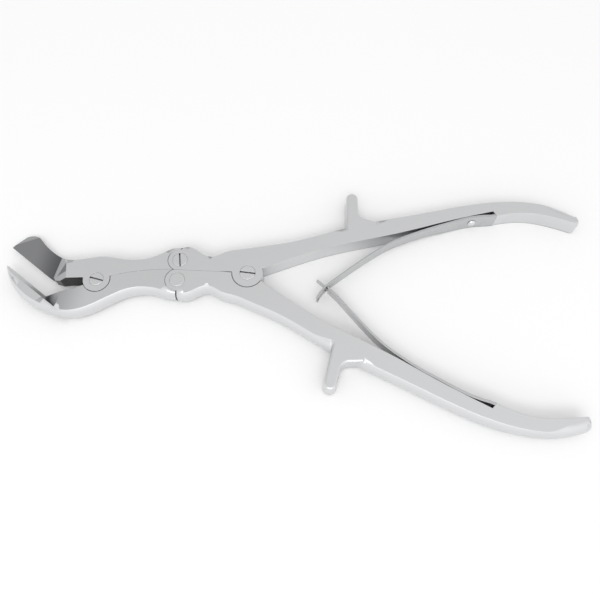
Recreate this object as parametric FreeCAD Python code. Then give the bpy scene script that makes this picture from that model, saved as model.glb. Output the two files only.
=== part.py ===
import FreeCAD, Part
import math
import os

# Double-action rib shears, lying flat with the jaws to the left (-X) and the handles to the right.
# The origin is the axis of the rear pivot, on the plane the shears rest on. Millimetres, degrees.
# The handles mirror each other across the X axis. The arms and jaws in front of the rear pivot
# follow a parting line that is turned by front_turn, so their places are given as a reach forward
# and an offset to the side of that line. An arm's reach counts from the rear pivot and a jaw's
# from the link pivots.

# Driving dimensions of the whole
thickness = 11.6
front_turn = 4.7
parting_gap = 0.12
lap_gap = 0.08
running_gap = 0.06
loop_gap = 0.42
seat_gap = 0.02

# Pivots: rear pivot to link pivots, link pivots to front pivot, offsets from the parting line
link_reach = 41.8
link_offset = 6.7
jaw_link = 48.4
jaw_offset = -8.9

# Ears of the half-lapped joints
rear_ear_radius = 9.2
link_ear_radius = 7.2
jaw_ear_radius = 8.0

# Screws
shank_radius = 2.6
head_depth = 2.4
head_rise = 0.3
rear_head_radius = 4.7
link_head_radius = 4.5
jaw_head_radius = 4.2
slot_width = 1.0
slot_depth = 1.2

# Handles: rounded on the outer side, nearly flat inside
handle_round = 5.4
rest_round = 1.6
grip_end_at = (192.8, 65.5)
grip_end_radius = 8.0
grip_end_round = 2.5
grip_outer = [(4, 20.9), (20, 25.8), (35, 32), (50, 39), (70, 47.2), (97, 56.6), (130, 68.2),
              (150, 73.4), (168, 75.4), (184, 74.0), (195, 70.4), (208, 64.0)]
grip_inner = [(208, 58.5), (196.5, 61.6), (183, 64.4), (169, 65.2), (158, 63.4), (149, 60.4)]
pocket_wall = [(146.6, 63.6), (130, 57.3), (113, 50.4), (97, 43.4), (72, 33.6), (47, 24), (26, 13.6)]
crotch = (11, 5.4)
rest_corners = [(56.2, 35.0), (53.0, 65.6), (60.4, 65.0), (62.9, 48.4), (74.0, 46.6)]
rest_corner_radii = [3.6, 3.5, 5.0]

# Arms in front of the rear pivot: share of the link reach, and offset
arm_bulge = 16.8
arm_side = [(0.78, 16.6), (0.557, 12.2), (0.371, 15.5), (0.144, 18.0)]

# Jaws, as reach from the link pivots and offset
jaw_round_top = 6.2
jaw_round_bottom = 4.2
jaw_tail = 2.0
parting_straight = 6.0
parting_curve = [(17.7, -1.1), (32.3, -3.9), (40.4, -6.2)]
slide_level = 4.3
slide_gap = 0.1

upper_jaw_side = [(6.6, 15.9), (12.7, 12.4), (20.7, 8.7), (35.1, 7.7), (47.4, 8.6), (59.2, 6.4),
                  (69.2, 5.4), (76.2, 7.6)]
upper_heel = [(57.7, -8.2), (67.2, -9.0), (71.2, -9.8), (75.4, -8.7)]
upper_tip = (107.9, 13.3)
upper_edge_heel = (79.1, -6.9)
upper_end = [(101.0, 21.9), (95.0, 22.4), (91.6, 20.5)]
upper_spine_heel = (77.2, 8.7)
upper_core = (63.2, 2.0)
ramp_top = [(68.6, 1.5), (67.1, -7.2)]
ramp_foot = (77.7, -6.1)
shoulder = (72.7, 6.6)
shoulder_rise = 13.0
blade_bevel_width = 9.0
blade_land = 0.3
end_bevel_inset = 1.3
end_bevel_depth = 1.2

lower_jaw_start = 17.4
lower_jaw_side = [(6.2, -17.1), (11.4, -15.6), (18.2, -14.9), (26.6, -16.0), (34.7, -19.7), (44.2, -25.6)]
back_centre = (66.2, 12.0)
back_radius = 42.5
back_start = 258.0
back_far = (110.2, 8.0)
back_inside = (68.2, 8.0)
lower_tip = (106.5, 0.0)
lower_edge_heel = (79.4, -18.9)
lower_heel = [(67.6, -17.9), (61.2, -15.9), (55.6, -13.2)]
relief_end = 64.2
lower_bevel_width = 2.2
facet_top = [(67.9, -18.4), (69.1, -25.8)]
facet_foot = (79.6, -18.3)

# Leaf springs and the rivets that hold them
leaf_root_thickness = 1.7
leaf_tip_thickness = 1.0
leaf_root_height = 9.2
leaf_tip_height = 7.2
leaf_heel_height = 4.6
leaf_path = [(146.4, 60.2), (141, 59.4), (134, 57.65), (120, 52.0), (107.7, 46.6), (95.6, 40.3), (84.9, 33.8),
             (74.7, 25.4), (62.8, 14.2)]
upper_leaf_tip = [(53.0, 4.2), (47.4, -2.0), (43.6, -9.6)]
lower_leaf_tip = [(53.0, 5.2), (47.6, 1.0), (42.0, -2.9)]
leaf_samples = 16
tongue_length = 11.5
tongue_height = 2.8
leaf_slot_height = 3.6
leaf_slot = (43.9, 50.2)
rivet_at = (134.0, 58.45)
rivet_turn = 18.0
rivet_head_radius = 2.7
rivet_head_height = 1.7
rivet_shank_radius = 1.5
rivet_depth = 5.0

UP = FreeCAD.Vector(0, 0, 1)
ORIGIN = FreeCAD.Vector(0, 0, 0)
lap_level = thickness / 2
FAR = 400.0


def vec(x, y, z=0.0):
    return FreeCAD.Vector(x, y, z)


def front(reach, offset, z=0.0):
    """A point in front of the rear pivot, before the front half is turned onto its parting line."""
    return vec(-reach, offset, z)


def jaw(reach, offset, z=0.0):
    """A point of the jaws, before that turn."""
    return front(link_reach + reach, offset, z)


def turned(shape):
    """Swings a front shape about the rear pivot onto the parting line."""
    shape.rotate(ORIGIN, UP, front_turn)
    return shape


def turned_point(reach, offset):
    """The place of a front point after the turn, for outlines that run through the rear pivot."""
    angle = math.radians(front_turn)
    x = -reach * math.cos(angle) - offset * math.sin(angle)
    y = -reach * math.sin(angle) + offset * math.cos(angle)
    return vec(x, y)


def spline(points):
    curve = Part.BSplineCurve()
    curve.interpolate(points)
    return curve.toShape()


def line(a, b):
    return Part.makeLine(a, b)


def path(points):
    """Straight lines through the points."""
    return [line(a, b) for a, b in zip(points, points[1:])]


def slab(edges, bottom=0.0, top=thickness):
    """A flat plate between two heights from the edges of its outline."""
    face = Part.Face(Part.Wire(Part.__sortEdges__(edges)))
    face.translate(UP * bottom)
    return face.extrude(UP * (top - bottom))


def plate(points, bottom=0.0, top=thickness):
    return slab(path(points + points[:1]), bottom, top)


def disc(centre, radius, bottom=0.0, top=thickness):
    return Part.makeCylinder(radius, top - bottom, vec(centre.x, centre.y, bottom))


def along(solid, curve, level):
    """The edges of a solid that follow a plan curve at one height."""
    guide = curve.copy()
    guide.translate(UP * level)
    found = []
    for edge in solid.Edges:
        middle = edge.valueAt((edge.FirstParameter + edge.LastParameter) / 2)
        if Part.Vertex(middle).distToShape(guide)[0] < 0.01 and abs(middle.z - level) < 0.01:
            found.append(edge)
    return found


def rounded(solid, curve, top_radius, bottom_radius):
    """Rounds the side that follows a plan curve, above and below."""
    solid = solid.makeFillet(top_radius, along(solid, curve, thickness))
    return solid.makeFillet(bottom_radius, along(solid, curve, 0.0))


def wheel(a, b, c, kept):
    """Everything beyond the plane through a, b and c, seen from the point kept."""
    normal = (b - a).cross(c - a).normalize()
    if normal.dot(kept - a) > 0:
        normal = normal * -1
    block = Part.makeBox(FAR, FAR, FAR, vec(-FAR / 2, -FAR / 2, 0))
    block.Placement = FreeCAD.Placement(a, FreeCAD.Rotation(UP, normal))
    return block


# Half-lapped joints: the piece on top keeps its ear above the lap level, the other below it

def clear_below(solid, centre, radius, gap=running_gap):
    """Takes the room for the other piece's ear out of the lower half."""
    return solid.cut(disc(centre, radius + gap, -1.0, lap_level + lap_gap / 2))


def clear_above(solid, centre, radius, gap=running_gap):
    return solid.cut(disc(centre, radius + gap, lap_level - lap_gap / 2, thickness + 1.0))


def ear_above(solid, centre, radius):
    return solid.fuse(disc(centre, radius, lap_level + lap_gap / 2, thickness))


def ear_below(solid, centre, radius):
    return solid.fuse(disc(centre, radius, 0.0, lap_level - lap_gap / 2))


def bored(solid, centre, head_radius, gap=running_gap):
    """The hole and the counterbore for a screw whose head lies in the top face."""
    hole = disc(centre, shank_radius + gap, -1.0, thickness + 1.0)
    seat = disc(centre, head_radius + running_gap, thickness - head_depth - seat_gap, thickness + 1.0)
    return solid.cut(hole).cut(seat)


def screw(centre, head_radius, slot_angle=None):
    """Flush screw or pin: shank through both halves, head in the top one, slotted if given an angle."""
    shank = disc(centre, shank_radius, 0.0, thickness - head_depth)
    head = disc(centre, head_radius, thickness - head_depth, thickness + head_rise)
    rim = [edge for edge in head.Edges if abs(edge.CenterOfMass.z - thickness - head_rise) < 0.01]
    head = head.makeChamfer(head_rise, rim)
    body = head.fuse(shank)
    if slot_angle is None:
        return body
    slot = Part.makeBox(3 * head_radius, slot_width, slot_depth + 1.0)
    slot.translate(vec(-1.5 * head_radius, -slot_width / 2, thickness + head_rise - slot_depth))
    slot.rotate(ORIGIN, UP, slot_angle)
    slot.translate(centre)
    return body.cut(slot)


# Handles

def handle_curves(side):
    """The outer contour of a handle from its arm to the grip, and its inner contour back again."""
    arm = [turned_point(share * link_reach, side * offset) for share, offset in [(1.0, arm_bulge)] + arm_side]
    outer = spline(arm + [vec(x, side * y) for x, y in grip_outer])
    inner = spline([vec(x, side * y) for x, y in grip_inner])
    wall = spline([vec(x, side * y) for x, y in pocket_wall + [crotch]])
    return outer, inner, wall


def finger_rest(side):
    """The rounded tab on the outer side of a handle."""
    corners = [vec(x, side * y) for x, y in rest_corners]
    root = vec(corners[-1].x, corners[0].y)
    tab = plate(corners + [root])
    for corner, radius in zip(corners[1:], rest_corner_radii):
        upright = Part.Vertex(corner + UP * lap_level)
        tab = tab.makeFillet(radius, [edge for edge in tab.Edges if edge.distToShape(upright)[0] < 0.01])
    rims = []
    for edge in tab.Edges:
        middle = edge.valueAt((edge.FirstParameter + edge.LastParameter) / 2)
        at_root = abs(middle.x - root.x) < 0.01 or abs(middle.y - root.y) < 0.01
        if abs(middle.z - lap_level) > lap_level - 0.01 and not at_root:
            rims.append(edge)
    return tab.makeFillet(rest_round, rims)


def end_rounded(body, centre):
    """Ends a grip in an arc about a centre and softens the rim of that end."""
    beyond = Part.makeBox(FAR, FAR, FAR, vec(centre.x, centre.y - FAR / 2, -FAR / 2))
    body = body.cut(beyond.cut(disc(centre, grip_end_radius, -FAR / 2, FAR / 2)))
    rim = []
    for edge in body.Edges:
        ends = [vertex.Point for vertex in edge.Vertexes]
        ends.append(edge.valueAt((edge.FirstParameter + edge.LastParameter) / 2))
        off_end = [p for p in ends if abs(math.hypot(p.x - centre.x, p.y - centre.y) - grip_end_radius) > 0.01]
        upright = abs(ends[0].x - ends[1].x) + abs(ends[0].y - ends[1].y) < 0.01
        if not off_end and not upright:
            rim.append(edge)
    return body.makeFillet(grip_end_round, rim)


def handle(side):
    outer, inner, wall = handle_curves(side)
    half_gap = side * parting_gap / 2
    seam_foot = turned_point(link_reach, half_gap)
    rear = vec(0, half_gap)
    end = line(outer.Vertexes[-1].Point, inner.Vertexes[0].Point)
    step = line(inner.Vertexes[-1].Point, wall.Vertexes[0].Point)
    edges = [outer, end, inner, step, wall]
    edges += path([wall.Vertexes[-1].Point, rear, seam_foot, outer.Vertexes[0].Point])
    body = rounded(slab(edges), outer, handle_round, handle_round)
    body = end_rounded(body, vec(grip_end_at[0], side * grip_end_at[1]))
    body = body.fuse(finger_rest(side))
    pivot = turned_point(link_reach, side * link_offset)
    arm_end = disc(pivot, link_ear_radius, lap_level + lap_gap / 2, thickness)
    body = clear_below(body, pivot, link_ear_radius)
    body = body.fuse(arm_end.cut(beyond_parting(side)))
    if side > 0:
        body = ear_above(clear_below(body, ORIGIN, rear_ear_radius), ORIGIN, rear_ear_radius)
    else:
        body = ear_below(clear_above(body, ORIGIN, rear_ear_radius), ORIGIN, rear_ear_radius)
    body = bored(body, pivot, link_head_radius)
    body = bored(body, ORIGIN, rear_head_radius)
    return body.cut(rivet(side, seat_gap))


def beyond_parting(side):
    """Everything on the far side of the straight parting line, seen from one handle."""
    block = plate([vec(-FAR, 0), vec(FAR, 0), vec(FAR, -side * FAR), vec(-FAR, -side * FAR)], -FAR, FAR)
    block.translate(vec(0, side * parting_gap / 2))
    return turned(block)


# Leaf springs

def leaf_points(side):
    tip = upper_leaf_tip if side > 0 else lower_leaf_tip
    return [vec(x, side * y) for x, y in leaf_path + tip]


def leaf_plan(side):
    """The leaf's outline from above: a curved strip that thins from root to tip."""
    centre = Part.BSplineCurve()
    centre.interpolate(leaf_points(side))
    first, last = centre.FirstParameter, centre.LastParameter
    left, right = [], []
    for step in range(leaf_samples + 1):
        share = step / leaf_samples
        here = centre.value(first + share * (last - first))
        across = UP.cross(centre.tangent(first + share * (last - first))[0])
        half = (leaf_root_thickness + share * (leaf_tip_thickness - leaf_root_thickness)) / 2
        left.append(here + across * half)
        right.append(here - across * half)
    return [spline(left), spline(right), line(left[0], right[0]), line(left[-1], right[-1])]


def leaf_side(side):
    """The leaf's outline from the side, as a plate across the whole width."""
    root_x = leaf_path[0][0] + 1.0
    full_x = rivet_at[0] + 3.0
    tip = leaf_points(side)[-1].x - 1.0
    half_heel, half_root = leaf_heel_height / 2, leaf_root_height / 2
    half_tip = leaf_tip_height / 2
    corners = [(root_x, half_heel), (full_x, half_root), (tip, half_tip)]
    corners += [(tip, -half_tip), (full_x, -half_root), (root_x, -half_heel)]
    points = [vec(x, -FAR / 2, lap_level + z) for x, z in corners]
    face = Part.Face(Part.makePolygon(points + points[:1]))
    return face.extrude(vec(0, FAR, 0))


def leaf_spring(side):
    leaf = slab(leaf_plan(side)).common(leaf_side(side))
    end = leaf_points(side)[-1]
    if side > 0:
        window = Part.makeBox(leaf_slot[1] - leaf_slot[0], FAR, leaf_slot_height)
        window.translate(vec(leaf_slot[0], -FAR / 2, lap_level - leaf_slot_height / 2))
        leaf = leaf.cut(window)
    else:
        for level in (0.0, lap_level + tongue_height / 2):
            spare = Part.makeBox(tongue_length * 0.7, FAR, lap_level - tongue_height / 2)
            leaf = leaf.cut(spare.translated(vec(end.x - 1.0, -FAR / 2, level)))
    return leaf.cut(rivet(side, running_gap)).removeSplitter()


def rivet(side, gap=0.0):
    """Domed rivet through the leaf into the inner side of the handle, or its hole if given a gap."""
    foot = vec(0, 0, -leaf_root_thickness - seat_gap)
    shank = Part.makeCylinder(rivet_shank_radius + gap, rivet_depth + leaf_root_thickness + gap, foot)
    if gap == 0.0:
        ball = (rivet_head_radius ** 2 + rivet_head_height ** 2) / (2 * rivet_head_height)
        dome = Part.makeSphere(ball, vec(0, 0, ball - rivet_head_height))
        flat = Part.makeBox(FAR, FAR, FAR, vec(-FAR / 2, -FAR / 2, 0.0))
        dome = dome.cut(flat)
        dome.translate(foot)
        shank = shank.fuse(dome)
    inward = math.radians(rivet_turn)
    direction = vec(-math.sin(inward), side * math.cos(inward))
    shank.Placement = FreeCAD.Placement(
        vec(rivet_at[0], side * rivet_at[1], lap_level), FreeCAD.Rotation(UP, direction))
    return shank


# Jaws, made before the turn onto the parting line

def link_lap(body, side):
    """Leaves the jaw's tail under the arm's end and outside it nothing behind the link pivot."""
    pivot = front(link_reach, side * link_offset)
    tail = disc(pivot, link_ear_radius, 0.0, lap_level - lap_gap / 2)
    tail = tail.cut(plate([vec(-FAR, side * parting_gap / 2), vec(FAR, side * parting_gap / 2),
                           vec(FAR, -side * FAR), vec(-FAR, -side * FAR)], -1.0, thickness))
    behind = Part.makeBox(FAR, FAR, FAR, vec(-link_reach - parting_gap, -FAR / 2, -FAR / 2))
    body = clear_above(body.cut(behind), pivot, link_ear_radius).fuse(tail)
    return bored(body, pivot, link_head_radius)


def parting(shift):
    """The parting line from behind the link pivots to its end by the front pivot."""
    shift = vec(0, shift)
    straight = [jaw(-jaw_tail, 0) + shift, jaw(parting_straight, 0) + shift]
    return straight, spline(straight[1:] + [jaw(*p) + shift for p in parting_curve])


def upper_jaw():
    start = [jaw(-jaw_tail, arm_bulge), jaw(jaw_tail / 2, arm_bulge)]
    outer = spline(start + [jaw(*p) for p in upper_jaw_side])
    straight, curve = parting(parting_gap / 2)
    pivot = jaw(jaw_link, jaw_offset)
    edges = [outer, curve, line(curve.Vertexes[-1].Point, pivot), line(pivot, jaw(*upper_heel[0]))]
    edges += path([outer.Vertexes[-1].Point, jaw(*ramp_foot)] + [jaw(*p) for p in reversed(upper_heel)])
    edges += path([outer.Vertexes[0].Point] + straight)
    body = rounded(slab(edges), outer, handle_round, jaw_round_bottom)
    body = body.cut(wheel(jaw(*ramp_top[1], thickness), jaw(*ramp_top[0], thickness),
                          jaw(*ramp_foot, slide_level), pivot))
    ahead = back_radius * vec(-1, 0)
    over_blade = [jaw(*shoulder), jaw(*ramp_foot), jaw(*upper_edge_heel)]
    over_blade += [jaw(*upper_edge_heel) + ahead, jaw(*shoulder) + ahead, jaw(*shoulder) + vec(0, shoulder_rise)]
    body = body.cut(plate(over_blade, slide_level, FAR))
    body = body.fuse(upper_blade())
    body = ear_above(clear_below(body, pivot, jaw_ear_radius, loop_gap), pivot, jaw_ear_radius)
    body = bored(link_lap(body, 1), pivot, jaw_head_radius)
    return turned(body.removeSplitter())


def upper_blade():
    """Flat blade whose top face slides under the other blade, sharpened from below."""
    tip, heel = jaw(*upper_tip), jaw(*upper_edge_heel)
    end = [jaw(*p) for p in upper_end]
    spine = spline([end[2], jaw(*upper_spine_heel), jaw(*shoulder)])
    core = jaw(*upper_core)
    edges = [line(tip, end[0]), Part.Arc(end[0], end[1], end[2]).toShape(), spine]
    edges += path([jaw(*shoulder), core] + [jaw(*p) for p in upper_heel[1:]] + [heel, tip])
    blade = slab(edges, 0.0, slide_level)
    land = UP * (slide_level - blade_land)
    inward = UP.cross(heel - tip).normalize()
    blade = blade.cut(wheel(tip + land, heel + land, tip + inward * blade_bevel_width, core + UP * slide_level))
    outward = (end[2] - tip).cross(UP).normalize()
    if outward.dot(end[0] - tip) < 0:
        outward = outward * -1
    rim = [point + outward * end_bevel_inset + UP * slide_level for point in (tip, end[2])]
    foot = end[0] + UP * (slide_level - end_bevel_depth)
    return blade.cut(wheel(rim[0], rim[1], foot, core))


def lower_jaw():
    start = [jaw(-jaw_tail, -lower_jaw_start), jaw(jaw_tail / 2, -lower_jaw_start)]
    centre = jaw(*back_centre)
    heading = math.radians(back_start)
    joint = centre + vec(math.cos(heading), math.sin(heading)) * back_radius
    outer = spline(start + [jaw(*p) for p in lower_jaw_side] + [joint])
    far = jaw(*back_far)
    middle = centre + ((joint + far) * 0.5 - centre).normalize() * back_radius
    back = Part.Arc(joint, middle, centre + (far - centre).normalize() * back_radius).toShape()
    straight, curve = parting(-parting_gap / 2)
    pivot = jaw(jaw_link, jaw_offset)
    inner = [pivot] + [jaw(*p) for p in reversed(lower_heel)] + [jaw(*back_inside), back.Vertexes[-1].Point]
    edges = [outer, back, curve, line(curve.Vertexes[-1].Point, pivot)]
    edges += path(inner) + path([outer.Vertexes[0].Point] + straight)
    body = rounded(slab(edges), Part.Wire([outer, back]), jaw_round_top, jaw_round_bottom)
    tip, heel = jaw(*lower_tip), jaw(*lower_edge_heel)
    inward = UP.cross(heel - tip).normalize()
    if inward.dot(centre - heel) < 0:
        inward = inward * -1
    before_edge = [tip + (tip - heel), heel, jaw(*lower_heel[0])]
    before_edge += [jaw(*lower_heel[0]) + inward * back_radius, tip + (tip - heel) + inward * back_radius]
    body = body.cut(plate(before_edge, -1.0, FAR))
    below = Part.makeBox(FAR, FAR, FAR, jaw(relief_end + FAR, -FAR / 2, slide_level + slide_gap - FAR))
    body = body.cut(below)
    low, high = slide_level + slide_gap, thickness
    bevel = wheel(tip + UP * low, heel + UP * low, tip - inward * lower_bevel_width + UP * high, joint)
    facet = wheel(jaw(*facet_top[0], high), jaw(*facet_top[1], high), jaw(*facet_foot, low), pivot)
    body = body.cut(bevel.common(facet))
    body = ear_below(clear_above(body, pivot, jaw_ear_radius, loop_gap), pivot, jaw_ear_radius)
    body = bored(link_lap(body, -1), pivot, jaw_head_radius, loop_gap)
    return turned(body.removeSplitter())


rear = ORIGIN
upper_link = turned_point(link_reach, link_offset)
lower_link = turned_point(link_reach, -link_offset)
jaw_pivot = turned_point(link_reach + jaw_link, jaw_offset)

nodes = {
    "upper_handle": handle(1),
    "lower_handle": handle(-1),
    "upper_jaw": upper_jaw(),
    "lower_jaw": lower_jaw(),
    "upper_leaf_spring": leaf_spring(1),
    "lower_leaf_spring": leaf_spring(-1),
    "upper_spring_rivet": rivet(1),
    "lower_spring_rivet": rivet(-1),
    "rear_pivot_screw": screw(rear, rear_head_radius, 0.0),
    "upper_link_screw": screw(upper_link, link_head_radius, 105.0),
    "lower_link_pin": screw(lower_link, link_head_radius),
    "front_pivot_screw": screw(jaw_pivot, jaw_head_radius, -8.0),
}

os.makedirs("parts", exist_ok=True)
for name, shape in nodes.items():
    print(name, len(shape.Solids), "solids", round(shape.Volume), "mm3", shape.isValid())
    shape.exportStep("parts/" + name + ".step")
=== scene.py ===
import bpy
import math
import numpy as np
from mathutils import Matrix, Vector


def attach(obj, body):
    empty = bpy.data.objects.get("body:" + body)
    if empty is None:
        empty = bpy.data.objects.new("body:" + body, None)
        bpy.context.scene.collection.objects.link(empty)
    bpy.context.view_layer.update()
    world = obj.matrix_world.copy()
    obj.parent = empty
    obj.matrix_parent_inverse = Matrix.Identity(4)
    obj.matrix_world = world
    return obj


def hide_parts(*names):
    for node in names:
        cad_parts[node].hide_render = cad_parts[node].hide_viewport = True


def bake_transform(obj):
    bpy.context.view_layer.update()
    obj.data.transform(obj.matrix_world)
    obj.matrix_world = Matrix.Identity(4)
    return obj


# Rib shears: two handles with a finger rest each, two bypass jaws, a pair of interlocked leaf
# springs between the handles, and the slotted screws, pin and rivets that join them.
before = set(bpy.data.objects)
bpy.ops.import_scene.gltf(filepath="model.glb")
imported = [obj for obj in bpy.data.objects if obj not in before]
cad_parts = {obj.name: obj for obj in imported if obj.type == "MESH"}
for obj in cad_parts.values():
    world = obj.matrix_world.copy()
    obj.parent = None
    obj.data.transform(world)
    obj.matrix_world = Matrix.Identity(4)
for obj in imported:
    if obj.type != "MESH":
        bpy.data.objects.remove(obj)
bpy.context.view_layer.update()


# The camera stands on the near side, high above the table, with the shears turned slightly on it.
view_elevation = math.radians(66.0)
view_distance = 0.350
table_turn = math.radians(7.7)
pixels_per_metre = 1 / 0.00059
frame_pixels = 600
sensor_width = 36.0
shears_top = 0.0116
nearest_seen = 0.01
pivot_from_centre = Vector((-0.03162, 0.01801))


def on_table(x, y):
    """The place on the shears' top of a point given from the frame's centre, along the picture's level
    and depth lines. The point is taken from the pivot and turned by the table's turn."""
    dx, dy = x - pivot_from_centre.x, y - pivot_from_centre.y
    cos, sin = math.cos(table_turn), math.sin(table_turn)
    return Vector((dx * cos - dy * sin, dx * sin + dy * cos, shears_top))


target = on_table(0.0, 0.0)
stand = on_table(0.0, -view_distance * math.cos(view_elevation))
stand.z += view_distance * math.sin(view_elevation)
camera_data = bpy.data.cameras.new("camera")
camera_data.sensor_width = sensor_width
camera_data.lens = view_distance * pixels_per_metre / frame_pixels * sensor_width
camera_data.clip_start = nearest_seen
camera = bpy.data.objects.new("camera", camera_data)
camera.location = stand
camera.rotation_euler = (target - stand).to_track_quat("-Z", "Y").to_euler()
bpy.context.scene.collection.objects.link(camera)
bpy.context.scene.camera = camera
bpy.context.scene.view_settings.view_transform = "Standard"


# Shader maths: a socket that takes part in Python expressions, and one method for every other node.
class Sock:
    def __init__(self, tree, socket):
        self.tree = tree
        self.socket = socket

    def node(self, kind, settings=None, outputs=0, **inputs):
        """Adds a node of a kind, sets it up, links or fills its sockets and returns one of its outputs."""
        made = self.tree.nodes.new(kind)
        for name, value in (settings or {}).items():
            setattr(made, name, value)
        for name, value in inputs.items():
            socket = pick(made.inputs, name)
            if isinstance(value, Sock):
                self.tree.links.new(value.socket, socket)
            else:
                socket.default_value = value
        return Sock(self.tree, pick(made.outputs, outputs))

    def maths(self, operation, *values):
        return self.node("ShaderNodeMath", {"operation": operation}, **dict(zip(("i0", "i1"), values)))

    def __add__(self, other):
        return self.maths("ADD", self, other)

    __radd__ = __add__

    def __mul__(self, other):
        return self.maths("MULTIPLY", self, other)

    __rmul__ = __mul__

    def __sub__(self, other):
        return self.maths("SUBTRACT", self, other)

    def __rsub__(self, other):
        return self.maths("SUBTRACT", other, self)

    def root(self):
        return self.maths("SQRT", self)

    def step(self, low, high):
        """0 below low, 1 above high, smooth between them."""
        settings = {"interpolation_type": "SMOOTHSTEP"}
        return self.node("ShaderNodeMapRange", settings, i0=self, i1=low, i2=high)


def pick(sockets, name):
    """A socket by its place, by iN for the Nth input, or by its name with _ for a space."""
    if isinstance(name, int):
        return sockets[name]
    if name[0] == "i" and name[1:].isdigit():
        return sockets[int(name[1:])]
    return sockets[name.replace("_", " ")]


def material(name):
    """A new material, its tree's socket maker and its Principled shader."""
    made = bpy.data.materials.new(name)
    made.use_nodes = True
    return made, Sock(made.node_tree, None), made.node_tree.nodes["Principled BSDF"]


# The table: a white sheet that carries the soft shadow under the shears and fades into the white
# background.
table_half = 3.0
sheet_white = 0.95
sheet_rough = 0.9


def flat_sheet(name, half):
    """A level square about the origin, at the height that the shears lie on."""
    mesh = bpy.data.meshes.new(name)
    corners = [(-half, -half, 0), (half, -half, 0), (half, half, 0), (-half, half, 0)]
    mesh.from_pydata(corners, [], [(0, 1, 2, 3)])
    made = bpy.data.objects.new(name, mesh)
    bpy.context.scene.collection.objects.link(made)
    return made


table = flat_sheet("table", table_half)
paper, sock, shader = material("white_sheet")
shader.inputs["Base Color"].default_value = (sheet_white, sheet_white, sheet_white, 1)
shader.inputs["Roughness"].default_value = sheet_rough
shader.inputs["Specular IOR Level"].default_value = 0.0
table.data.materials.append(paper)


# The light: a pale tent, a little darker overhead and on the far side than on the near side, and a
# large soft lamp over the near side that draws the bright line along the arrises.
far_dim = 0.78
near_bright = 1.09
near_to_far = (-0.35, 0.75)
left_dim = 0.17
left_span = (-0.1, 0.5)
overhead_span = (0.3, 0.8)
white_room = 1.0
lamp_aim = Vector((0.02, 0, 0))
world = bpy.data.worlds.new("studio")
bpy.context.scene.world = world
world.use_nodes = True
room = Sock(world.node_tree, None)
background = world.node_tree.nodes["Background"]
outward = room.node("ShaderNodeTexCoord", outputs="Generated")
across = room.node("ShaderNodeSeparateXYZ", outputs="X", Vector=outward)
depth = room.node("ShaderNodeSeparateXYZ", outputs="Y", Vector=outward)
height = room.node("ShaderNodeSeparateXYZ", outputs="Z", Vector=outward)
tent = room.node("ShaderNodeMapRange", {"interpolation_type": "SMOOTHSTEP"}, i0=depth,
                 i1=near_to_far[0], i2=near_to_far[1], i3=near_bright, i4=far_dim)
overhead_left = (0.0 - across).step(*left_span) * height.step(*overhead_span)
tent = tent * (1.0 - overhead_left * left_dim)
seen = room.node("ShaderNodeLightPath", outputs="Is Camera Ray")
strength = room.node("ShaderNodeMix", {"data_type": "FLOAT"}, Factor=seen, A=tent, B=white_room)
background.inputs["Color"].default_value = (1, 1, 1, 1)
room.tree.links.new(strength.socket, background.inputs["Strength"])


def lamp(name, place, size, power):
    """A soft rectangular lamp at a place, turned towards the middle of the shears."""
    data = bpy.data.lights.new(name, "AREA")
    data.shape = "RECTANGLE"
    data.size, data.size_y = size
    data.energy = power
    made = bpy.data.objects.new(name, data)
    made.location = place
    made.rotation_euler = (lamp_aim - Vector(place)).to_track_quat("-Z", "Y").to_euler()
    bpy.context.scene.collection.objects.link(made)
    return made


lamp("near_light", (0.1, -0.8, 0.9), (0.9, 0.35), 2.6)


# The handles: forged stainless steel, satin on the flats. Their outer side is ground to a shallow
# arc that meets both flats in a crisp arris, which the CAD part rounds over instead. Each is forged in
# one piece with its arm, ears and finger rest.
thickness = 0.0116
handle_round = 0.0054
side_radius = 0.0080
# Distances within which vertices are one, lie at a level and lie on a round, and the one by which a
# stray lies inward of the side
merge_step = 1e-7
level_slack = 0.00002
match_slack = 0.0002
stray_limit = 0.002
# How far faces turn, as parts of their unit normals: for the side, for its rounds and for cut walls
upright = 0.5
outward_facing = 0.2
slope_limits = (0.01, 0.9995)
side_facing = 0.8
wall_steepness = 0.95
rest_wall_steepness = 0.9999
same_way = 0.999
least_lean = 0.8
# How often moves that fold a face over are halved, how far it may turn and which faces are too small
fold_rounds = 5
fold_limit = 0.3
smallest_face = 1e-8
tiny = 1e-9


def read_node(node):
    """A CAD node's mesh as places, triangles and the normal at each corner. Vertices whose places round to
    the same step are merged, and triangles that this leaves with two corners are dropped."""
    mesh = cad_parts[node].data
    places = np.zeros(len(mesh.vertices) * 3)
    mesh.vertices.foreach_get("co", places)
    corners = np.zeros(len(mesh.loops), int)
    mesh.loops.foreach_get("vertex_index", corners)
    normals = np.zeros(len(mesh.loops) * 3)
    mesh.corner_normals.foreach_get("vector", normals)
    places = places.reshape(-1, 3)
    _, first, merged = np.unique(np.round(places / merge_step).astype(np.int64), axis=0,
                                 return_index=True, return_inverse=True)
    triangles = merged.reshape(-1)[corners].reshape(-1, 3)
    normals = normals.reshape(-1, 3, 3)
    whole = (triangles[:, 0] != triangles[:, 1]) & (triangles[:, 1] != triangles[:, 2])
    whole &= triangles[:, 2] != triangles[:, 0]
    return places[first], triangles[whole], normals[whole]


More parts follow.
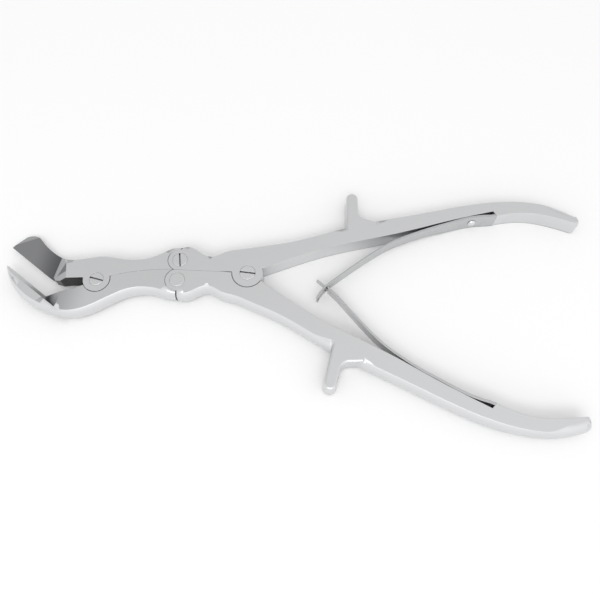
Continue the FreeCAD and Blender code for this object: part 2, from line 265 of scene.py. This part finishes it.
def build_piece(name, places, triangles, normals, finishes, finish_of=None):
    """A mesh object from whole arrays, with its corner normals and one finish or one for each triangle."""
    mesh = bpy.data.meshes.new(name)
    mesh.from_pydata(places.tolist(), [], triangles.tolist())
    for finish in finishes:
        mesh.materials.append(finish)
    if finish_of is not None:
        mesh.polygons.foreach_set("material_index", finish_of.astype(np.int32))
    mesh.polygons.foreach_set("use_smooth", np.ones(len(triangles), bool))
    mesh.normals_split_custom_set(normals.reshape(-1, 3).tolist())
    made = bpy.data.objects.new(name, mesh)
    bpy.context.scene.collection.objects.link(made)
    return made


def eased(values, low, high):
    """0 below low, 1 above high, and t * t * (3 - 2 * t) between them, with t the share of the way."""
    t = np.clip((values - low) / (high - low), 0, 1)
    return t * t * (3 - 2 * t)


def face_normals(places, triangles):
    """Each triangle's unit normal, and twice its area, from the cross product of two of its sides."""
    a, b, c = (places[triangles[:, k]] for k in range(3))
    cross = np.cross(b - a, c - a)
    size = np.linalg.norm(cross, axis=1)
    return cross / np.maximum(size, 1e-15)[:, None], size


def side_line(places, triangles, facing, level, side):
    """The line along the outer side at one level: its vertices there in the order of X, without those that
    lie inward of the chord between their neighbours, by the chord's cross product with the step to them."""
    outer = (np.abs(facing[:, 2]) < upright) & (facing[:, 1] * side > outward_facing)
    corners = np.unique(triangles[outer])
    corners = corners[np.abs(places[corners, 2] - level) < level_slack]
    line = places[corners][:, :2]
    line = line[np.argsort(line[:, 0])]
    chord, step = line[2:] - line[:-2], line[1:-1] - line[:-2]
    inward = chord[:, 1] * step[:, 0] - chord[:, 0] * step[:, 1]
    inward *= side / np.linalg.norm(chord, axis=1)
    return line[~np.concatenate([[False], inward > stray_limit, [False]])]


def nearest(points, line):
    """Each point's distance from a line of straight runs, and the unit direction towards it, square to the
    run that holds the nearest foot."""
    start, run = line[:-1], np.diff(line, axis=0)
    share = ((points[:, None] - start) * run).sum(2) / (run ** 2).sum(1)
    foot = start + np.clip(share, 0, 1)[..., None] * run
    gap = np.linalg.norm(foot - points[:, None], axis=2)
    best = gap.argmin(1)
    rows = np.arange(len(points))
    along = run[best] / np.linalg.norm(run[best], axis=1)[:, None]
    across = np.stack([-along[:, 1], along[:, 0]], 1)
    towards = foot[rows, best] - points
    across *= np.where((across * towards).sum(1) < 0, -1, 1)[:, None]
    return gap[rows, best], across


def arris_side(places, triangles, normals, side, rounds, share_at, slide_until):
    """Grinds the outer side to a shallow arc: at each level a point moves outward, within the face that it
    ends on, by the difference of the two profiles' insets. The inset of a profile of radius r at d from
    its upright start is r - sqrt(r * r - d * d). Where the round ends on a wall that runs beside the
    outline or stands above it, the point is lifted onto the new profile instead, and points whose move
    would fold a triangle over go only part of the way."""
    facing, area = face_normals(places, triangles)
    moved, turned = places.copy(), normals.copy()
    middle = thickness / 2
    for way, radius in zip((1, -1), rounds):
        start_level = middle + way * (middle - radius)
        line = side_line(places, triangles, facing, start_level, side)
        height = way * (places[:, 2] - middle)
        rise = np.clip(height - (middle - radius), 0, radius)
        old_inset = radius - np.sqrt(radius ** 2 - rise ** 2)
        gap, outward = nearest(places[:, :2], line)
        on_round = (height > middle - radius - level_slack) & (np.abs(gap - old_inset) < match_slack)
        sloping = (facing[:, 2] * way > slope_limits[0]) & (facing[:, 2] * way < slope_limits[1])
        level_facing = facing[:, :2] / np.maximum(np.linalg.norm(facing[:, :2], axis=1), tiny)[:, None]
        sideways = (level_facing * outward[triangles].mean(1)).sum(1) > side_facing
        ground = on_round[triangles].all(1) & sloping & sideways
        chosen = np.zeros(len(places), bool)
        chosen[triangles[ground]] = True
        share = share_at(places)
        new_inset = side_radius - np.sqrt(side_radius ** 2 - np.clip(height, 0, middle) ** 2)
        push = share * (old_inset - new_inset)
        slide, wall_size = outward.copy(), np.zeros(len(places))
        lifted = np.zeros(len(places), bool)
        past = places[triangles, 0].mean(1) > slide_until
        steep = np.where(past, rest_wall_steepness, wall_steepness)
        walls = np.flatnonzero(~ground & (np.abs(facing[:, 2]) < steep) & chosen[triangles].any(1))
        walls = walls[np.argsort(area[walls])]
        tangent = np.stack([facing[:, 1], -facing[:, 0]], 1)
        tangent /= np.maximum(np.linalg.norm(tangent, axis=1), tiny)[:, None]
        for k in range(3):
            corner = triangles[walls, k]
            lean = (tangent[walls] * outward[corner]).sum(1)
            rises = way * (places[triangles[walls], 2].mean(1) - places[corner, 2]) > 0
            along = np.abs((level_facing[walls] * outward[corner]).sum(1)) > same_way
            better = chosen[corner] & (area[walls] > wall_size[corner]) & ~along
            corner, lean, rises, which = corner[better], lean[better], rises[better], walls[better]
            wall_size[corner] = area[which]
            beside = np.abs(lean) < least_lean
            lifted[corner] = rises | beside | (places[corner, 0] > slide_until)
            slide[corner] = tangent[which] / np.where(beside, 1, lean)[:, None]
        pushed = chosen & ~lifted
        moved[pushed, :2] += (slide * push[:, None])[pushed]
        lifted &= chosen
        inset = np.clip(gap, 0, side_radius)
        on_arc = np.sqrt(side_radius ** 2 - (side_radius - inset) ** 2)
        new_height = np.clip(np.where(lifted, np.maximum(on_arc, height), height), 0, middle)
        moved[lifted, 2] = middle + way * new_height[lifted]
        tilt = share * new_height / side_radius + (1 - share) * rise / radius
        tilt = np.where(lifted & (new_height > middle - level_slack), 1.0, tilt)
        flat_part = np.sqrt(np.clip(1 - tilt ** 2, 0, 1))
        profile = np.concatenate([outward * flat_part[:, None], way * tilt[:, None]], 1)
        turned[ground] = profile[triangles[ground]]
    for _ in range(fold_rounds):
        folded = (face_normals(moved, triangles)[0] * facing).sum(1) < fold_limit
        held = np.unique(triangles[folded & (area > smallest_face)])
        moved[held] = (moved[held] + places[held]) / 2
    return moved, triangles, turned


def mixed(factor, low, high):
    """One colour where the factor is 0, the other where it is 1 and a blend in proportion between them."""
    settings = {"data_type": "RGBA"}
    return factor.node("ShaderNodeMix", settings, outputs="i2", Factor=factor, i6=low, i7=high)


def part_of(place, axis):
    """A place's coordinate along one axis."""
    return place.node("ShaderNodeSeparateXYZ", outputs=axis, Vector=place)


def arc_line(centre, radius, width, axis, start, stop):
    """1 on a circle in plan, falling to 0 at a width from it by the distance from its centre, which is the
    root of the sum of squares, and fading out from start to stop along an axis."""
    def patch(place):
        dx, dy = part_of(place, "X") - centre[0], part_of(place, "Y") - centre[1]
        away = (dx * dx + dy * dy).root()
        line = away.step(radius - width, radius) * (1.0 - away.step(radius, radius + width))
        return line * (1.0 - part_of(place, axis).step(start, stop))
    return patch


def straight_line(start, end, width):
    """1 within a width of a straight line in plan and 0 at twice that, by Y less the line's Y at the same
    X. It grows from 0 at its start to 1 at its end."""
    def patch(place):
        x = part_of(place, "X")
        rise = (end[1] - start[1]) / (end[0] - start[0])
        away = part_of(place, "Y") - start[1] - (x - start[0]) * rise
        line = away.step(-2 * width, -width) * (1.0 - away.step(width, 2 * width))
        return line * x.step(start[0], end[0]) * (1.0 - x.step(end[0], end[0] + width))
    return patch


# Steel as brushed: scratches 60 to the metre along the grain and 4000 across it
grain_scale = (60.0, 4000.0, 4000.0)
cloud_scale = 90.0
grain_tone = 0.06
grain_gloss = 0.16
cloud_gloss = 0.1
brush_depth = 0.000006
brush_strength = 0.4
edge_radius = 0.0003
# Painted shade: within this reach the colour darkens towards the crevice colour, standing in for the shade
# in crevices, slots and gaps
crevice_shade_reach = 0.0012
crevice_shade_tones = (0.25, 0.9)
crevice_shade_colour = (0.03, 0.03, 0.032)


def steel(name, colour, rough, grain_direction, painted_shade_patch=None, seam_shade=()):
    """Brushed stainless: long fine scratches one way, faint cloudy changes of gloss, and painted shade: an
    ambient occlusion node darkens the colour towards near black where two faces nearly meet. A patch, if
    given, paints a darker colour, painted shade and reflection, where it lies, and each seam line paints a
    dark line of shade along a narrow gap between lapped pieces. The gloss is the mean plus each noise's
    part of it."""
    made, sock, shader = material(name)
    place = sock.node("ShaderNodeTexCoord", outputs="Object")
    stretch = sock.node("ShaderNodeMapping", i0=place, Rotation=(0, 0, grain_direction), Scale=grain_scale)
    lines = sock.node("ShaderNodeTexNoise", i0=stretch, Scale=1.0, Detail=2.0)
    clouds = sock.node("ShaderNodeTexNoise", i0=place, Scale=cloud_scale, Detail=3.0)
    bright = (*colour, 1)
    if painted_shade_patch:
        bright = mixed(painted_shade_patch[1](place), bright, (*painted_shade_patch[0], 1))
    open_air = sock.node("ShaderNodeAmbientOcclusion", {"samples": 8}, outputs="AO", Distance=crevice_shade_reach)
    unshaded_with_grain = open_air.step(*crevice_shade_tones) * (1.0 - grain_tone / 2 + lines * grain_tone)
    for seam_line in seam_shade:
        unshaded_with_grain = unshaded_with_grain * (1.0 - seam_line(place))
    shaded = mixed(unshaded_with_grain, (*crevice_shade_colour, 1), bright)
    sock.tree.links.new(shaded.socket, shader.inputs["Base Color"])
    shader.inputs["Metallic"].default_value = 1.0
    gloss = (lines - 0.5) * grain_gloss + (clouds - 0.5) * cloud_gloss + rough
    sock.tree.links.new(gloss.socket, shader.inputs["Roughness"])
    rounded = sock.node("ShaderNodeBevel", {"samples": 6}, Radius=edge_radius)
    bump = sock.node("ShaderNodeBump", Height=lines, Distance=brush_depth, Strength=brush_strength,
                     Normal=rounded)
    sock.tree.links.new(bump.socket, shader.inputs["Normal"])
    return made


satin_tone = (0.70, 0.705, 0.712)
satin_rough = 0.33
ground_rough = 0.3
along_handles = 0.0
# Painted shade: thin dark lines along the seam round the rear ear and along the arm, standing in for the
# shadow in the narrow gap of the lap
rear_ear_seam = 0.0095
rear_seam_width = 0.0004
rear_seam_end = (-0.0020, -0.0006)
arm_seam = ((-0.0185, -0.0012), (-0.0095, -0.0008))
arm_seam_width = 0.00016
handle_seam_shade = [arc_line((0.0, 0.0), rear_ear_seam, rear_seam_width, "Y", *rear_seam_end),
                straight_line(*arm_seam, arm_seam_width)]
satin_steel = steel("satin_steel", satin_tone, satin_rough, along_handles, seam_shade=handle_seam_shade)
grip_fade = (0.176, 0.190)
arm_end = -0.030


def handle_share(places):
    """Full along the handle, fading out before the rounded end of the grip."""
    return 1 - eased(places[:, 0], *grip_fade)


for node, side in (("upper_handle", 1), ("lower_handle", -1)):
    shape = arris_side(*read_node(node), side, (handle_round, handle_round), handle_share, arm_end)
    forging = build_piece(node + "_forging", *shape, [satin_steel])
    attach(forging, node)
    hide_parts(node)


# The jaws: forged and ground like the handles, and hung on their arms by half-lapped ears. The far jaw
# carries a flat blade, bevelled at its end, whose darker reflection is painted into its colour across its
# width, and a ramp at its heel. The near jaw has a steep facet there.
upper_jaw_rounds = (0.0054, 0.0042)
lower_jaw_rounds = (0.0062, 0.0042)
slide_level = 0.0043
blade_start = -0.113
end_bevel_start = -0.125
ramp_span = (-0.125, -0.105)
notch_span = (-0.121, -0.096)
near_flat_start = -0.1205
facet_span = (-0.121, -0.105)
facet_inner = -0.038
blade_grain = math.radians(-58.0)
ramp_patch = [(-0.11025, -0.00772), (-0.11566, -0.01583), (-0.10868, -0.01344)]
ramp_patch_edge = 0.0004
upper_link = (-0.04221, 0.00325)
lower_link = (-0.04111, -0.01010)
# Painted shade: a thin dark ring along each link ear's seam, standing in for the shadow in the narrow gap
# of the lap
ear_seam = 0.00735
seam_width = 0.00022
seam_end = (-0.0430, -0.0390)
jaw_end = 0.0


def whole_share(places):
    """Full everywhere."""
    return np.ones(len(places))


def within(corners, edge):
    """1 inside a shape with straight sides in plan, given anticlockwise, and 0 outside it: the product of a
    smooth step over each side, by the distance from the side."""
    def patch(place):
        x, y = part_of(place, "X"), part_of(place, "Y")
        inside = 1.0
        for (ax, ay), (bx, by) in zip(corners, corners[1:] + corners[:1]):
            length = math.hypot(bx - ax, by - ay)
            inward = (y - ay) * ((bx - ax) / length) - (x - ax) * ((by - ay) / length)
            inside = inward.step(-edge, edge) * inside
        return inside
    return patch


def along_x(start, stop):
    """0 up to start and 1 from stop on, along the X axis, either way."""
    def patch(place):
        x = part_of(place, "X")
        return x.step(start, stop) if start < stop else 1.0 - x.step(stop, start)
    return patch


# Painted reflection and shade: each ground face gets a tone by its facing, darkening along it as its
# reflection does
painted_shade_grey = (0.13, 0.132, 0.136)
blade_steel = steel("blade_steel", (0.29, 0.293, 0.298), 0.36, blade_grain,
                    (painted_shade_grey, along_x(-0.136, -0.116)))
end_bevel_steel = steel("end_bevel_steel", (0.42, 0.425, 0.43), ground_rough, blade_grain)
ramp_steel = steel("ramp_steel", (0.45, 0.455, 0.46), ground_rough, along_handles,
                   ((0.20, 0.203, 0.207), within(ramp_patch, ramp_patch_edge)))
# Painted shade: the notch wall that faces the near side is painted near black
notch_shade_steel = steel("notch_shade_steel", (0.07, 0.071, 0.073), ground_rough, along_handles)
facet_steel = steel("facet_steel", (0.40, 0.405, 0.41), ground_rough, along_handles,
                    (painted_shade_grey, along_x(-0.1115, -0.1165)))
edge_steel = steel("edge_steel", (0.60, 0.605, 0.61), ground_rough, blade_grain,
                   ((0.10, 0.101, 0.103), along_x(-0.134, -0.122)))
near_flat_steel = steel("near_flat_steel", (0.68, 0.685, 0.692), satin_rough, along_handles,
                        ((0.44, 0.445, 0.45), along_x(-0.090, -0.112)),
                        [arc_line(lower_link, ear_seam, seam_width, "X", *seam_end)])
far_flat_steel = steel("far_flat_steel", satin_tone, satin_rough, along_handles,
                       seam_shade=[arc_line(upper_link, ear_seam, seam_width, "X", *seam_end)])
jaw_finishes_and_shades = [satin_steel, blade_steel, end_bevel_steel, ramp_steel, notch_shade_steel, facet_steel,
                edge_steel, near_flat_steel, far_flat_steel]


def jaw_zones(places, triangles, side):
    """Which of the jaw finishes and painted shade tones each triangle has, by its middle and by how far it
    faces each way, from -1 to 1 along X, Y and up."""
    right, back, up = face_normals(places, triangles)[0].T
    x, y, z = places[triangles].mean(1).T
    zone = np.zeros(len(triangles), int)
    on_flat = (z > thickness - level_slack) & (up > 0.999)
    if side > 0:
        zone[on_flat & (x > blade_start)] = jaw_finishes_and_shades.index(far_flat_steel)
        zone[(x < blade_start) & (np.abs(z - slide_level) < level_slack) & (up > 0.9)] = (
            jaw_finishes_and_shades.index(blade_steel))
        zone[(x < end_bevel_start) & (up > 0.5) & (up < 0.99)] = jaw_finishes_and_shades.index(end_bevel_steel)
        on_ramp = (x > ramp_span[0]) & (x < ramp_span[1]) & (z > slide_level + level_slack)
        zone[on_ramp & (up > 0.3) & (up < 0.95) & (right < -0.3)] = jaw_finishes_and_shades.index(ramp_steel)
        in_notch = (x > notch_span[0]) & (x < notch_span[1])
        zone[in_notch & (back < -0.5) & (np.abs(up) < 0.3)] = jaw_finishes_and_shades.index(notch_shade_steel)
    else:
        zone[on_flat & (x > near_flat_start)] = jaw_finishes_and_shades.index(near_flat_steel)
        on_facet = (x > facet_span[0]) & (x < facet_span[1]) & (y > facet_inner)
        zone[on_facet & (right < -0.4) & (up > 0.6)] = jaw_finishes_and_shades.index(facet_steel)
        zone[(x < blade_start) & (right > 0.2) & (back > 0.2) & (up < 0.6)] = (
            jaw_finishes_and_shades.index(edge_steel))
    return zone


for node, side, rounds in (("upper_jaw", 1, upper_jaw_rounds), ("lower_jaw", -1, lower_jaw_rounds)):
    shape = arris_side(*read_node(node), side, rounds, whole_share, jaw_end)
    forging = build_piece(node + "_forging", *shape, jaw_finishes_and_shades, jaw_zones(*shape[:2], side))
    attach(forging, node)
    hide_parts(node)


# The leaf springs: two tapered strips of spring steel, riveted to the handles and ground flush with them
# at their roots. The tip of one goes through a slot in the tip of the other.
leaf_steel = steel("leaf_steel", (0.56, 0.565, 0.572), ground_rough, along_handles)
root_end = 0.1455
root_taper = (0.1000, 0.1340)
root_clearance = 0.0001
leaf_heights = ((0.1474, 0.0046), (0.1370, 0.0092), (0.0420, 0.0072))
root_reach = np.array([0.0024, 0.00095])


def leaf_height(x):
    """The CAD leaf's height along its length, in straight runs between its given heights."""
    at, high = zip(*reversed(leaf_heights))
    return np.interp(x, at, high)


def flush_root(places, side):
    """Brings the leaf's root up to the handle's flats and against its step. Its height goes from the CAD's
    to the handle's by a smooth step along the root's taper, scaled about the middle of the thickness."""
    moved = places.copy()
    x = places[:, 0]
    wanted = leaf_height(x) + (thickness - root_clearance - leaf_height(x)) * eased(x, *root_taper)
    moved[:, 2] = thickness / 2 + (places[:, 2] - thickness / 2) * wanted / leaf_height(x)
    moved[x > root_end, :2] += root_reach * (1, side)
    return moved


for node, side, home, other in (("upper_leaf_spring", 1, "upper_handle", "lower_handle"),
                                ("lower_leaf_spring", -1, "lower_handle", "upper_handle")):
    places, triangles, normals = read_node(node)
    leaf = build_piece(node + "_strip", flush_root(places, side), triangles, normals, [leaf_steel])
    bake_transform(leaf)
    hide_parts(node)


# The screws, the pin and the rivets: turned from stainless bar with a fine chamfer at the rim, polished
# brighter than the pieces that they join, and driven or hammered flush with them.
screw_rough = 0.26
screw_grain = 0.6
screw_steel = steel("screw_steel", (0.72, 0.725, 0.732), screw_rough, screw_grain)
for node in ("upper_spring_rivet", "lower_spring_rivet", "rear_pivot_screw", "upper_link_screw",
             "lower_link_pin", "front_pivot_screw"):
    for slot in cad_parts[node].material_slots:
        slot.material = screw_steel
